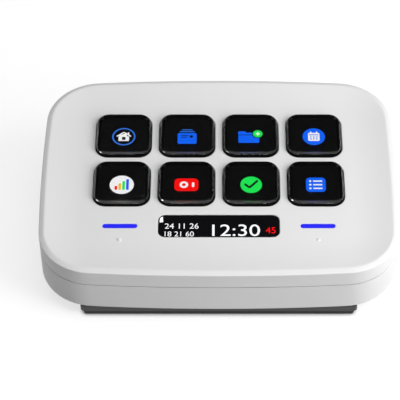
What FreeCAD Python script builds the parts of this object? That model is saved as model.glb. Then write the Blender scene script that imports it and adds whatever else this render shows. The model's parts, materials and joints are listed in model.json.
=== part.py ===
import FreeCAD, Part
import Sketcher
import math
import os
import re

# Compact desk keypad: a dished white slab on a dark wedge base, with eight screen
# keys, an information display, two light bars and two touch points.
#
# Every slab piece is drawn in the slab's own frame: X to the right, Y up the face,
# Z square to the face from the underside. The slab then leans back by tilt_angle.
# The part frame has its origin on the desk, under the middle of the rubber pad.

SIZES = (
    # slab outline
    ("body_width", 107.0),
    ("body_length", 78.0),
    ("corner_radius", 16.2),
    ("front_bow_radius", 650.0),
    ("side_bow_radius", 590.0),
    ("slab_height", 16.6),
    ("tilt_angle", 4.2),
    ("front_height", 4.25),
    # cover and housing shells
    ("housing_height", 10.3),
    ("seam_gap", 0.3),
    ("cover_wall", 2.0),
    ("plate_thickness", 2.0),
    ("floor_thickness", 2.0),
    ("lip_thickness", 0.9),
    ("lip_gap", 0.1),
    ("rim_width", 1.6),
    ("rim_round", 0.5),
    ("housing_edge_round", 0.5),
    ("dish_depth", 1.2),
    ("dish_reach", 12.5),
    # keys
    ("key_pitch", 19.45),
    ("key_rise", 6.2),
    ("window_size", 17.3),
    ("window_radius", 4.0),
    ("key_gap", 0.3),
    ("key_proud", 1.7),
    ("key_edge_round", 1.1),
    ("lens_thickness", 2.1),
    ("screen_size", 14.6),
    ("screen_radius", 2.5),
    ("screen_thickness", 1.2),
    ("screen_gap", 0.1),
    ("carrier_floor", 1.6),
    ("flange_reach", 0.85),
    ("flange_thickness", 0.9),
    ("flange_radius", 1.5),
    ("rest_gap", 0.1),
    # guide and membrane under the keys
    ("guide_gap", 0.25),
    ("guide_border", 1.2),
    ("guide_radius", 3.0),
    ("membrane_thickness", 0.5),
    ("dome_foot_radius", 5.4),
    ("dome_head_radius", 3.6),
    ("dome_wall", 0.45),
    ("pill_radius", 2.0),
    ("pill_gap", 0.1),
    # screen tails
    ("tail_width", 4.0),
    ("tail_thickness", 0.15),
    ("tail_offset", 6.6),
    ("tail_foot", 1.3),
    ("tail_gap", 0.4),
    ("tail_slot_spare", 1.0),
    # main board
    ("board_level", 7.7),
    ("board_thickness", 1.6),
    ("board_width", 92.0),
    ("board_length", 54.4),
    ("board_shift", 0.3),
    ("board_radius", 8.0),
    ("tongue_width", 24.0),
    ("tongue_gap", 0.3),
    ("tongue_radius", 1.5),
    # port
    ("port_width", 8.9),
    ("port_height", 3.2),
    ("port_length", 7.4),
    ("port_wall", 0.28),
    ("port_depth", 6.2),
    ("blade_width", 6.7),
    ("blade_thickness", 0.7),
    ("blade_back", 0.7),
    ("recess_width", 13.0),
    ("recess_height", 6.9),
    ("recess_radius", 3.0),
    ("recess_depth", 4.4),
    ("recess_wall", 1.2),
    ("recess_block_radius", 0.2),
    ("port_gap", 0.15),
    # information display
    ("info_width", 36.0),
    ("info_length", 8.6),
    ("info_radius", 2.2),
    ("info_drop", 19.65),
    ("info_lens_thickness", 1.05),
    ("info_lens_gap", 0.1),
    ("info_ledge", 1.3),
    ("info_panel_width", 38.0),
    ("info_panel_length", 10.0),
    ("info_panel_thickness", 1.8),
    ("info_holder_wall", 1.4),
    ("info_panel_radius", 0.5),
    # light bars and touch points
    ("light_spread", 29.3),
    ("light_width", 10.2),
    ("light_length", 1.5),
    ("light_gap", 0.08),
    ("light_collar", 0.9),
    ("light_collar_thickness", 0.9),
    ("led_width", 1.6),
    ("led_length", 1.2),
    ("led_height", 0.8),
    ("led_radius", 0.1),
    ("led_spacing", 4.4),
    ("led_gap", 0.2),
    ("touch_drop", 25.0),
    ("dot_radius", 0.55),
    ("dot_height", 0.35),
    ("electrode_radius", 3.1),
    ("electrode_thickness", 0.3),
    ("contact_radius", 0.8),
    # wedge base, pad and ballast
    ("base_width", 82.0),
    ("base_length", 75.4),
    ("base_radius", 2.5),
    ("base_wall", 2.0),
    ("base_top", 1.6),
    ("pad_inset", 0.75),
    ("pad_thickness", 2.1),
    ("ballast_width", 48.0),
    ("ballast_length", 36.0),
    ("ballast_thickness", 2.6),
    ("ballast_shift", 15.0),
    ("ballast_radius", 3.0),
    # fasteners
    ("cover_screw_width", 70.0),
    ("cover_screw_rear", 30.0),
    ("cover_screw_front", 31.0),
    ("base_screw_width", 56.0),
    ("base_screw_length", 46.0),
    ("board_screw_side", 3.0),
    ("board_screw_end", 4.2),
    ("screw_radius", 1.0),
    ("screw_gap", 0.05),
    ("head_radius", 1.9),
    ("head_height", 1.3),
    ("head_gap", 0.25),
    ("screw_bite", 4.2),
    ("boss_wall", 1.6),
    ("pillar_height", 1.2),
    ("socket_depth", 0.8),
    ("socket_gap", 0.1),
    # electronics under the board
    ("chip_size", 7.0),
    ("chip_height", 1.0),
    ("chip_radius", 0.3),
    ("memory_width", 6.0),
    ("memory_length", 5.0),
    ("memory_radius", 0.2),
    ("coil_size", 4.0),
    ("coil_height", 2.2),
    ("coil_radius", 0.6),
    ("part_spacing", 12.0),
)

# Heights in the slab's frame, as words of the sheet
DISH_PARTS = (0, 0.25, 0.5, 0.75, 1)
DISH_CURVE = 1.8
PLATE_TOP = "(slab_height - dish_depth)"
PLATE_BOTTOM = "(slab_height - dish_depth - plate_thickness)"
BOARD_TOP = "(board_level + board_thickness)"
SHEET_TOP = "(board_level + board_thickness + membrane_thickness)"
SEAM = "(housing_height + seam_gap)"
KEY_TOP = "(slab_height - dish_depth + key_proud)"
LENS_BOTTOM = f"({KEY_TOP} - lens_thickness)"
SCREEN_BOTTOM = f"({LENS_BOTTOM} - screen_thickness)"
CARRIER_BOTTOM = f"({SCREEN_BOTTOM} - carrier_floor)"
FLANGE_TOP = f"({PLATE_BOTTOM} - rest_gap)"
DOME_TOP = f"({CARRIER_BOTTOM} - rest_gap)"
PORT_LEVEL = "(board_level - port_height / 2)"
RECESS_FACE = "(body_length / 2 - recess_depth)"
BULKHEAD_BACK = f"({RECESS_FACE} - recess_wall)"
INNER_INSET = "(cover_wall + lip_gap + lip_thickness)"
KEY_SIZE = "(window_size - 2 * key_gap)"
KEY_RADIUS = "(window_radius - key_gap)"
FLANGE_SIZE = f"({KEY_SIZE} + 2 * flange_reach)"
GUIDE_WINDOW = f"({FLANGE_SIZE} + 2 * guide_gap)"
GUIDE_WIDTH = "(4 * key_pitch + 2 * guide_border)"
GUIDE_LENGTH = "(2 * key_pitch + 2 * guide_border)"
BOSS_RADIUS = "(screw_radius + boss_wall)"
SCREW_BORE = "(screw_radius + screw_gap)"
BOARD_SCREW_WIDTH = "(board_width - 2 * board_screw_side)"
BOARD_SCREW_LENGTH = "(board_length - 2 * board_screw_end)"
SLAB_RISE = "(front_height + body_length / 2 * sin(tilt_angle))"
FIRST_KEY = ("-1.5 * key_pitch", "key_rise - key_pitch / 2")

doc = FreeCAD.newDocument("keypad")
sheet = doc.addObject("Spreadsheet::Sheet", "sizes")
for row, (alias, number) in enumerate(SIZES, 1):
    sheet.set(f"A{row}", alias)
    sheet.set(f"B{row}", str(number))
    sheet.setAlias(f"B{row}", alias)
doc.recompute()

subparts = []


def linked(words):
    """The expression for a phrase made of the sheet's words."""
    return re.sub(r"\b[a-z]+(?:_[a-z]+)+\b", lambda found: "sizes." + found.group(0), str(words))


def number(words):
    """The value of a phrase now, in millimetres or degrees."""
    return float(sheet.evalExpression(linked(words)))


def new_body(label, in_slab=True):
    """A sub-part, leaning with the slab or standing square on the desk."""
    body = doc.addObject("PartDesign::Body", label)
    body.Label = label
    body.AllowCompound = True
    if in_slab:
        body.Placement = FreeCAD.Placement(
            FreeCAD.Vector(0, 0, number(SLAB_RISE)),
            FreeCAD.Rotation(FreeCAD.Vector(1, 0, 0), number("tilt_angle")),
        )
        body.setExpression("Placement.Base.z", linked(SLAB_RISE))
        body.setExpression("Placement.Rotation.Angle", linked("tilt_angle"))
    subparts.append(body)
    return body


def new_sketch(body, name, height=0, at=(0, 0), role="XY_Plane", lean=False):
    """A sketch on one of the body's own planes, moved to its place by expressions."""
    sketch = body.newObject("Sketcher::SketchObject", f"{body.Label}_{name}")
    plane = [item for item in body.Origin.OriginFeatures if item.Role == role][0]
    sketch.AttachmentSupport = [(plane, "")]
    sketch.MapMode = "FlatFace"
    if lean:
        sketch.AttachmentOffset = FreeCAD.Placement(
            FreeCAD.Vector(0, 0, 0),
            FreeCAD.Rotation(FreeCAD.Vector(1, 0, 0), number("tilt_angle")),
        )
        sketch.setExpression("AttachmentOffset.Rotation.Angle", linked("tilt_angle"))
    sketch.setExpression("AttachmentOffset.Base.x", linked(at[0]))
    sketch.setExpression("AttachmentOffset.Base.y", linked(at[1]))
    sketch.setExpression("AttachmentOffset.Base.z", linked(height))
    return sketch


def dimension(sketch, kind, targets, words):
    """A dimension bound to the sheet."""
    index = sketch.addConstraint(Sketcher.Constraint(kind, *targets, number(words)))
    sketch.renameConstraint(index, f"size_{index}")
    sketch.setExpression(f"Constraints.size_{index}", linked(words))


def add_arc(sketch, centre, radius, start, end):
    """An arc by its centre, radius and angles in radians."""
    circle = Part.Circle(FreeCAD.Vector(*centre, 0), FreeCAD.Vector(0, 0, 1), radius)
    return sketch.addGeometry(Part.ArcOfCircle(circle, start, end), False)


def draw_outline(sketch, inset):
    """The slab's bowed outline, drawn in by an inset: four long arcs and four corners."""
    half_width = number("body_width") / 2
    half_length = number("body_length") / 2
    drawn_in = number(inset)
    long_bow = number("front_bow_radius")
    short_bow = number("side_bow_radius")
    corner = number("corner_radius")
    rear_centre = half_length - long_bow
    right_centre = half_width - short_bow
    reach = math.hypot(right_centre, rear_centre)
    along = ((long_bow - corner) ** 2 - (short_bow - corner) ** 2 + reach ** 2) / (2 * reach)
    aside = math.sqrt((long_bow - corner) ** 2 - along ** 2)
    lean_x = right_centre / reach
    lean_y = -rear_centre / reach
    corner_x = along * lean_x + aside * lean_y
    corner_y = rear_centre + along * lean_y - aside * lean_x
    rear_angle = math.atan2(corner_y - rear_centre, corner_x)
    side_angle = math.atan2(corner_y, corner_x - right_centre)
    turn = math.pi
    right = add_arc(sketch, (right_centre, 0), short_bow - drawn_in, -side_angle, side_angle)
    rear_right = add_arc(sketch, (corner_x, corner_y), corner - drawn_in, side_angle, rear_angle)
    rear = add_arc(sketch, (0, rear_centre), long_bow - drawn_in, rear_angle, turn - rear_angle)
    rear_left = add_arc(sketch, (-corner_x, corner_y), corner - drawn_in,
                        turn - rear_angle, turn - side_angle)
    left = add_arc(sketch, (-right_centre, 0), short_bow - drawn_in,
                   turn - side_angle, turn + side_angle)
    front_left = add_arc(sketch, (-corner_x, -corner_y), corner - drawn_in,
                         turn + side_angle, turn + rear_angle)
    front = add_arc(sketch, (0, -rear_centre), long_bow - drawn_in,
                    turn + rear_angle, 2 * turn - rear_angle)
    front_right = add_arc(sketch, (corner_x, -corner_y), corner - drawn_in,
                          2 * turn - rear_angle, 2 * turn - side_angle)
    loop = [right, rear_right, rear, rear_left, left, front_left, front, front_right]
    for first, second in zip(loop, loop[1:] + loop[:1]):
        sketch.addConstraint(Sketcher.Constraint("Tangent", first, 2, second, 1))
    for arc in (rear, front):
        sketch.addConstraint(Sketcher.Constraint("PointOnObject", arc, 3, -2))
        dimension(sketch, "Radius", (arc,), f"front_bow_radius - {inset}")
    for arc in (left, right):
        sketch.addConstraint(Sketcher.Constraint("PointOnObject", arc, 3, -1))
        dimension(sketch, "Radius", (arc,), f"side_bow_radius - {inset}")
    for arc in (rear_right, rear_left, front_left, front_right):
        dimension(sketch, "Radius", (arc,), f"corner_radius - {inset}")
    dimension(sketch, "DistanceY", (rear, 3, -1, 1), "front_bow_radius - body_length / 2")
    dimension(sketch, "DistanceY", (-1, 1, front, 3), "front_bow_radius - body_length / 2")
    dimension(sketch, "DistanceX", (right, 3, -1, 1), "side_bow_radius - body_width / 2")
    dimension(sketch, "DistanceX", (-1, 1, left, 3), "side_bow_radius - body_width / 2")


def draw_rectangle(sketch, width, length, radius):
    """A rounded rectangle about the sketch's origin."""
    half_width = number(width) / 2
    half_length = number(length) / 2
    corner = number(radius)
    inner_x = half_width - corner
    inner_y = half_length - corner
    quarter = math.pi / 2
    places = ((inner_x, inner_y), (-inner_x, inner_y), (-inner_x, -inner_y), (inner_x, -inner_y))
    corners = []
    for step, place in enumerate(places):
        corners.append(add_arc(sketch, place, corner, step * quarter, (step + 1) * quarter))
    ends = (
        ((inner_x, half_length), (-inner_x, half_length)),
        ((-half_width, inner_y), (-half_width, -inner_y)),
        ((-inner_x, -half_length), (inner_x, -half_length)),
        ((half_width, -inner_y), (half_width, inner_y)),
    )
    lines = []
    for start, end in ends:
        segment = Part.LineSegment(FreeCAD.Vector(*start, 0), FreeCAD.Vector(*end, 0))
        lines.append(sketch.addGeometry(segment, False))
    for step in range(4):
        sketch.addConstraint(Sketcher.Constraint("Tangent", corners[step], 2, lines[step], 1))
        sketch.addConstraint(
            Sketcher.Constraint("Tangent", lines[step], 2, corners[(step + 1) % 4], 1))
    for step in (0, 2):
        sketch.addConstraint(Sketcher.Constraint("Horizontal", lines[step]))
    for step in (1, 3):
        sketch.addConstraint(Sketcher.Constraint("Vertical", lines[step]))
    for step in (1, 2, 3):
        sketch.addConstraint(Sketcher.Constraint("Equal", corners[0], corners[step]))
    sketch.addConstraint(Sketcher.Constraint("Symmetric", corners[0], 3, corners[2], 3, -1, 1))
    dimension(sketch, "Radius", (corners[0],), radius)
    dimension(sketch, "DistanceX", (corners[2], 3, corners[0], 3), f"{width} - 2 * ({radius})")
    dimension(sketch, "DistanceY", (corners[2], 3, corners[0], 3), f"{length} - 2 * ({radius})")


def draw_slot(sketch, width, length):
    """A slot with round ends, long side along X, about the sketch's origin."""
    radius = number(length) / 2
    run = number(width) / 2 - radius
    right = add_arc(sketch, (run, 0), radius, -math.pi / 2, math.pi / 2)
    left = add_arc(sketch, (-run, 0), radius, math.pi / 2, 3 * math.pi / 2)
    top = sketch.addGeometry(
        Part.LineSegment(FreeCAD.Vector(run, radius, 0), FreeCAD.Vector(-run, radius, 0)), False)
    bottom = sketch.addGeometry(
        Part.LineSegment(FreeCAD.Vector(-run, -radius, 0), FreeCAD.Vector(run, -radius, 0)), False)
    loop = [right, top, left, bottom]
    for first, second in zip(loop, loop[1:] + loop[:1]):
        sketch.addConstraint(Sketcher.Constraint("Tangent", first, 2, second, 1))
    sketch.addConstraint(Sketcher.Constraint("Horizontal", top))
    sketch.addConstraint(Sketcher.Constraint("Equal", right, left))
    sketch.addConstraint(Sketcher.Constraint("Symmetric", right, 3, left, 3, -1, 1))
    dimension(sketch, "Radius", (right,), f"({length}) / 2")
    dimension(sketch, "DistanceX", (left, 3, right, 3), f"({width}) - ({length})")


def draw_circle(sketch, radius):
    """A circle about the sketch's origin."""
    circle = Part.Circle(FreeCAD.Vector(0, 0, 0), FreeCAD.Vector(0, 0, 1), number(radius))
    index = sketch.addGeometry(circle, False)
    sketch.addConstraint(Sketcher.Constraint("Coincident", index, 3, -1, 1))
    dimension(sketch, "Radius", (index,), radius)


def draw_polygon(sketch, corners):
    """Straight runs through corners, each placed by two phrases from the origin."""
    points = [FreeCAD.Vector(number(across), number(up), 0) for across, up in corners]
    lines = []
    for start, end in zip(points, points[1:] + points[:1]):
        lines.append(sketch.addGeometry(Part.LineSegment(start, end), False))
    for first, second in zip(lines, lines[1:] + lines[:1]):
        sketch.addConstraint(Sketcher.Constraint("Coincident", first, 2, second, 1))
    for line, (across, up) in zip(lines, corners):
        dimension(sketch, "DistanceX", (-1, 1, line, 1), across)
        dimension(sketch, "DistanceY", (-1, 1, line, 1), up)


def add_pad(body, sketch, height, midplane=False):
    """Material raised from a sketch."""
    pad = body.newObject("PartDesign::Pad", sketch.Name + "_pad")
    pad.Profile = sketch
    pad.Midplane = midplane
    pad.setExpression("Length", linked(height))
    doc.recompute()
    return pad


def add_pocket(body, sketch, depth, upward=False, midplane=False):
    """A cut from a sketch, downwards unless upward, that has to remove material."""
    before = body.Shape.Volume
    pocket = body.newObject("PartDesign::Pocket", sketch.Name + "_cut")
    pocket.Profile = sketch
    pocket.Reversed = upward
    pocket.Midplane = midplane
    pocket.setExpression("Length", linked(depth))
    doc.recompute()
    if body.Shape.Volume >= before:
        raise ValueError(f"{pocket.Name} cuts nothing")
    return pocket


def add_grid(body, feature, columns, column_step, rows, row_step):
    """Copies of a feature along X and Y."""
    grid = body.newObject("PartDesign::LinearPattern", feature.Name + "_grid")
    grid.Originals = [feature]
    grid.Direction = (feature.Profile[0], ["H_Axis"])
    grid.Direction2 = (feature.Profile[0], ["V_Axis"])
    grid.Occurrences = columns
    grid.Occurrences2 = rows
    grid.setExpression("Length", linked(f"{columns - 1} * ({column_step})"))
    grid.setExpression("Length2", linked(f"{rows - 1} * ({row_step})"))
    body.Tip = grid
    doc.recompute()
    return grid


def round_edges(body, feature, radius, chosen):
    """A fillet on the edges of a feature that a test picks."""
    names = []
    for index, edge in enumerate(feature.Shape.Edges, 1):
        if chosen(edge):
            names.append(f"Edge{index}")
    fillet = body.newObject("PartDesign::Fillet", feature.Name + "_round")
    fillet.Base = (feature, names)
    fillet.setExpression("Radius", linked(radius))
    doc.recompute()
    return fillet


def lies_at(level):
    """A test for edges that lie flat at a height."""
    height = number(level)

    def test(edge):
        box = edge.BoundBox
        return abs(box.ZMin - height) < 1e-6 and abs(box.ZMax - height) < 1e-6

    return test


def key_grid(body, feature):
    """A feature repeated under every key."""
    return add_grid(body, feature, 4, "key_pitch", 2, "key_pitch")


def screw_grid(body, feature, group):
    """A feature repeated at a group of four screws."""
    steps = {
        "cover": ("cover_screw_width", "cover_screw_rear + cover_screw_front"),
        "base": ("base_screw_width", "base_screw_length"),
        "board": (BOARD_SCREW_WIDTH, BOARD_SCREW_LENGTH),
    }
    return add_grid(body, feature, 2, steps[group][0], 2, steps[group][1])


SCREW_CORNER = {
    "cover": ("-cover_screw_width / 2", "-cover_screw_front"),
    "base": ("-base_screw_width / 2", "-base_screw_length / 2"),
    "board": (f"-{BOARD_SCREW_WIDTH} / 2", f"-{BOARD_SCREW_LENGTH} / 2 - board_shift"),
}


def make_top_cover():
    """White cover: bowed wall, rounded rim, dished face with its windows, screw bosses."""
    body = new_body("top_cover")
    shell = new_sketch(body, "shell", SEAM)
    draw_outline(shell, "0")
    block = add_pad(body, shell, f"slab_height - {SEAM}")
    round_edges(body, block, "rim_round", lies_at("slab_height"))
    sections = []
    for part in DISH_PARTS:
        fall = round(1 - (1 - part) ** DISH_CURVE, 4)
        level = f"slab_height - dish_depth * {fall}"
        section = new_sketch(body, f"dish_{round(part * 4)}", level)
        draw_outline(section, f"(rim_width + {part} * (dish_reach - rim_width))")
        sections.append(section)
    before = body.Shape.Volume
    dish = body.newObject("PartDesign::SubtractiveLoft", "top_cover_dish")
    dish.Profile = sections[0]
    dish.Sections = sections[1:]
    doc.recompute()
    if body.Shape.Volume >= before:
        raise ValueError("the dish cuts nothing")
    hollow = new_sketch(body, "hollow", SEAM)
    draw_outline(hollow, "cover_wall")
    add_pocket(body, hollow, f"{PLATE_BOTTOM} - {SEAM}", upward=True)
    window = new_sketch(body, "window", "slab_height", FIRST_KEY)
    draw_rectangle(window, "window_size", "window_size", "window_radius")
    key_grid(body, add_pocket(body, window, "dish_depth + plate_thickness"))
    seat = new_sketch(body, "info_seat", "slab_height", (0, "-info_drop"))
    draw_rectangle(seat, "info_width", "info_length", "info_radius")
    add_pocket(body, seat, "dish_depth + info_lens_thickness")
    view = new_sketch(body, "info_view", "slab_height", (0, "-info_drop"))
    draw_rectangle(view, "(info_width - 2 * info_ledge)", "(info_length - 2 * info_ledge)",
                   "(info_radius - info_ledge)")
    add_pocket(body, view, "dish_depth + plate_thickness")
    slot = new_sketch(body, "light_slot", "slab_height", ("-light_spread", "-info_drop"))
    draw_slot(slot, "light_width + 2 * light_gap", "light_length + 2 * light_gap")
    cut = add_pocket(body, slot, "dish_depth + plate_thickness")
    add_grid(body, cut, 2, "2 * light_spread", 1, "1")
    boss = new_sketch(body, "boss", "floor_thickness + pillar_height", SCREW_CORNER["cover"])
    draw_circle(boss, BOSS_RADIUS)
    screw_grid(body, add_pad(body, boss, f"{PLATE_BOTTOM} - floor_thickness - pillar_height"),
               "cover")
    bore = new_sketch(body, "bore", "floor_thickness + pillar_height", SCREW_CORNER["cover"])
    draw_circle(bore, SCREW_BORE)
    screw_grid(body, add_pocket(body, bore, "screw_bite + 2 * screw_gap", upward=True), "cover")
    add_touch_dots(body)


def add_touch_dots(body):
    """A small round bump over each touch point."""
    # a cap of height k on a circle of radius a has the sphere radius (a*a + k*k) / 2k
    sphere = "((dot_radius * dot_radius + dot_height * dot_height) / (2 * dot_height))"
    dot = new_sketch(body, "dot", "touch_drop", ("-light_spread", f"{PLATE_TOP} + dot_height"),
                     role="XZ_Plane")
    radius = number(sphere)
    spread = math.asin(number("dot_radius") / radius)
    arc = add_arc(dot, (0, -radius), radius, math.pi / 2 - spread, math.pi / 2)
    low = FreeCAD.Vector(0, -number("dot_height"), 0)
    foot = FreeCAD.Vector(number("dot_radius"), -number("dot_height"), 0)
    base = dot.addGeometry(Part.LineSegment(low, foot), False)
    axis = dot.addGeometry(Part.LineSegment(FreeCAD.Vector(0, 0, 0), low), False)
    dot.addConstraint(Sketcher.Constraint("Coincident", axis, 2, base, 1))
    dot.addConstraint(Sketcher.Constraint("Coincident", base, 2, arc, 1))
    dot.addConstraint(Sketcher.Constraint("Coincident", arc, 2, axis, 1))
    dot.addConstraint(Sketcher.Constraint("Coincident", axis, 1, -1, 1))
    dot.addConstraint(Sketcher.Constraint("Vertical", axis))
    dot.addConstraint(Sketcher.Constraint("Horizontal", base))
    dot.addConstraint(Sketcher.Constraint("PointOnObject", arc, 3, -2))
    dimension(dot, "DistanceX", (base, 1, base, 2), "dot_radius")
    dimension(dot, "DistanceY", (axis, 2, axis, 1), "dot_height")
    bump = body.newObject("PartDesign::Revolution", "top_cover_dot_turned")
    bump.Profile = dot
    bump.ReferenceAxis = (dot, ["V_Axis"])
    bump.Angle = 360
    doc.recompute()
    add_grid(body, bump, 2, "2 * light_spread", 1, "1")


def make_lower_housing():
    """White lower shell: floor, wall, lip for the cover, posts and the port recess."""
    body = new_body("lower_housing")
    shell = new_sketch(body, "shell")
    draw_outline(shell, "0")
    block = add_pad(body, shell, "housing_height")
    round_edges(body, block, "housing_edge_round", lies_at("0"))
    lip = new_sketch(body, "lip", "housing_height")
    draw_outline(lip, "(cover_wall + lip_gap)")
    add_pad(body, lip, f"{PLATE_BOTTOM} - housing_height")
    hollow = new_sketch(body, "hollow", PLATE_BOTTOM)
    draw_outline(hollow, INNER_INSET)
    add_pocket(body, hollow, f"{PLATE_BOTTOM} - floor_thickness")
    add_housing_posts(body)
    add_port_recess(body)


def add_housing_posts(body):
    """Pillars for the cover screws, bosses for the base screws, posts for the board."""
    pillar = new_sketch(body, "pillar", "floor_thickness", SCREW_CORNER["cover"])
    draw_circle(pillar, "head_radius + head_gap + boss_wall")
    screw_grid(body, add_pad(body, pillar, "pillar_height + socket_depth"), "cover")
    socket = new_sketch(body, "socket", "floor_thickness + pillar_height", SCREW_CORNER["cover"])
    draw_circle(socket, f"{BOSS_RADIUS} + socket_gap")
    room = f"{PLATE_BOTTOM} - floor_thickness - pillar_height"
    screw_grid(body, add_pocket(body, socket, room, upward=True), "cover")
    sunk = new_sketch(body, "sunk", 0, SCREW_CORNER["cover"])
    draw_circle(sunk, "head_radius + head_gap")
    screw_grid(body, add_pocket(body, sunk, "head_height + head_gap", upward=True), "cover")
    through = new_sketch(body, "through", 0, SCREW_CORNER["cover"])
    draw_circle(through, SCREW_BORE)
    screw_grid(body, add_pocket(body, through, "floor_thickness + pillar_height", upward=True),
               "cover")
    boss = new_sketch(body, "base_boss", "floor_thickness", SCREW_CORNER["base"])
    draw_circle(boss, BOSS_RADIUS)
    screw_grid(body, add_pad(body, boss, "screw_bite"), "base")
    bore = new_sketch(body, "base_bore", 0, SCREW_CORNER["base"])
    draw_circle(bore, SCREW_BORE)
    screw_grid(body, add_pocket(body, bore, "screw_bite + 2 * screw_gap", upward=True), "base")
    post = new_sketch(body, "board_post", "floor_thickness", SCREW_CORNER["board"])
    draw_circle(post, BOSS_RADIUS)
    screw_grid(body, add_pad(body, post, "board_level - floor_thickness"), "board")
    hole = new_sketch(body, "post_hole", "board_level", SCREW_CORNER["board"])
    draw_circle(hole, SCREW_BORE)
    screw_grid(body, add_pocket(body, hole, "screw_bite + 2 * screw_gap - board_thickness"),
               "board")


def add_port_recess(body):
    """A blind recess in the rear wall that takes a plug's grip, with the port in its end."""
    start = f"(-{BULKHEAD_BACK})"
    block = new_sketch(body, "recess_block", start, (0, "housing_height / 2"), role="XZ_Plane")
    draw_rectangle(block, "recess_width + 2 * recess_wall", "housing_height",
                   "recess_block_radius")
    pad = body.newObject("PartDesign::Pad", "lower_housing_recess_pad")
    pad.Profile = block
    pad.Reversed = True
    pad.setExpression("Length", linked("recess_wall + recess_depth - cover_wall / 2"))
    doc.recompute()
    recess = new_sketch(body, "recess", f"(-{RECESS_FACE})", (0, PORT_LEVEL), role="XZ_Plane")
    draw_rectangle(recess, "recess_width", "recess_height", "recess_radius")
    add_pocket(body, recess, "recess_depth + cover_wall", upward=False)
    mouth = new_sketch(body, "mouth", start, (0, PORT_LEVEL), role="XZ_Plane")
    draw_slot(mouth, "port_width + 2 * port_gap", "port_height + 2 * port_gap")
    add_pocket(body, mouth, "recess_wall")


def make_base_wedge():
    """Dark hollow wedge that leans the slab back."""
    body = new_body("base_wedge", in_slab=False)
    plan = new_sketch(body, "plan", "pad_thickness")
    draw_rectangle(plan, "base_width", "base_length", "base_radius")
    add_pad(body, plan, f"{SLAB_RISE} + base_length / 2 * tan(tilt_angle)")
    above = new_sketch(body, "above", SLAB_RISE, lean=True)
    draw_rectangle(above, "body_width", "body_length + slab_height", "corner_radius")
    add_pocket(body, above, "slab_height + body_length", upward=True)
    inner = "(base_length / 2 - base_wall)"
    ceiling = f"{SLAB_RISE} - base_top / cos(tilt_angle)"
    hollow = new_sketch(body, "hollow", 0, role="YZ_Plane")
    draw_polygon(hollow, (
        (f"-{inner}", "pad_thickness / 2"),
        (inner, "pad_thickness / 2"),
        (inner, f"{ceiling} + {inner} * tan(tilt_angle)"),
        (f"-{inner}", f"{ceiling} - {inner} * tan(tilt_angle)"),
    ))
    add_pocket(body, hollow, "base_width - 2 * base_wall", midplane=True)
    hole = new_sketch(body, "screw_hole", SLAB_RISE, lean=True)
    corner = SCREW_CORNER["base"]
    hole.setExpression("AttachmentOffset.Base.x", linked(corner[0]))
    hole.setExpression("AttachmentOffset.Base.y", linked(f"({corner[1]}) * cos(tilt_angle)"))
    hole.setExpression("AttachmentOffset.Base.z",
                       linked(f"{SLAB_RISE} + ({corner[1]}) * sin(tilt_angle)"))
    draw_circle(hole, SCREW_BORE)
    screw_grid(body, add_pocket(body, hole, "2 * base_top"), "base")


def make_rubber_pad():
    """Soft pad bonded under the wedge."""
    body = new_body("rubber_pad", in_slab=False)
    plan = new_sketch(body, "plan")
    draw_rectangle(plan, "(base_width - 2 * pad_inset)", "(base_length - 2 * pad_inset)",
                   "base_radius")
    add_pad(body, plan, "pad_thickness")


def make_ballast_plate():
    """Steel plate under the wedge's top that keeps the keypad still."""
    body = new_body("ballast_plate")
    plan = new_sketch(body, "plan", "-base_top - ballast_thickness", (0, "ballast_shift"))
    draw_rectangle(plan, "ballast_width", "ballast_length", "ballast_radius")
    add_pad(body, plan, "ballast_thickness")


def key_place(index):
    """The centre of a key, counted from the rear left."""
    column = index % 4
    row = index // 4
    return (f"({column} - 1.5) * key_pitch", f"key_rise + (0.5 - {row}) * key_pitch")


def make_key(index):
    """One key: clear lens, small screen and the black carrier that holds both."""
    place = key_place(index)
    lens = new_body(f"key_lens_{index + 1}")
    face = new_sketch(lens, "face", LENS_BOTTOM, place)
    draw_rectangle(face, KEY_SIZE, KEY_SIZE, KEY_RADIUS)
    block = add_pad(lens, face, "lens_thickness")
    round_edges(lens, block, "key_edge_round", lies_at(KEY_TOP))

    screen = new_body(f"key_screen_{index + 1}")
    glass = new_sketch(screen, "glass", SCREEN_BOTTOM, place)
    draw_rectangle(glass, "screen_size", "screen_size", "screen_radius")
    add_pad(screen, glass, "screen_thickness")

    carrier = new_body(f"key_carrier_{index + 1}")
    tube = new_sketch(carrier, "tube", CARRIER_BOTTOM, place)
    draw_rectangle(tube, KEY_SIZE, KEY_SIZE, KEY_RADIUS)
    add_pad(carrier, tube, f"{LENS_BOTTOM} - {CARRIER_BOTTOM}")
    flange = new_sketch(carrier, "flange", f"{FLANGE_TOP} - flange_thickness", place)
    draw_rectangle(flange, FLANGE_SIZE, FLANGE_SIZE, "flange_radius")
    add_pad(carrier, flange, "flange_thickness")
    seat = new_sketch(carrier, "seat", LENS_BOTTOM, place)
    draw_rectangle(seat, "(screen_size + 2 * screen_gap)", "(screen_size + 2 * screen_gap)",
                   "(screen_radius + screen_gap)")
    add_pocket(carrier, seat, "screen_thickness")
    slot = new_sketch(carrier, "slot", SCREEN_BOTTOM, (place[0], f"{place[1]} + tail_offset"))
    draw_slot(slot, "tail_width + 2 * tail_gap + tail_slot_spare", "tail_thickness + 2 * tail_gap")
    add_pocket(carrier, slot, "carrier_floor")


def make_key_guide():
    """Black grid under the cover that keeps each key's flange square."""
    body = new_body("key_guide")
    plan = new_sketch(body, "plan", SHEET_TOP, (0, "key_rise"))
    draw_rectangle(plan, GUIDE_WIDTH, GUIDE_LENGTH, "guide_radius")
    add_pad(body, plan, f"{PLATE_BOTTOM} - {SHEET_TOP}")
    window = new_sketch(body, "window", PLATE_BOTTOM, FIRST_KEY)
    draw_rectangle(window, GUIDE_WINDOW, GUIDE_WINDOW, "(flange_radius + guide_gap)")
    key_grid(body, add_pocket(body, window, f"{PLATE_BOTTOM} - {SHEET_TOP}"))


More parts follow.
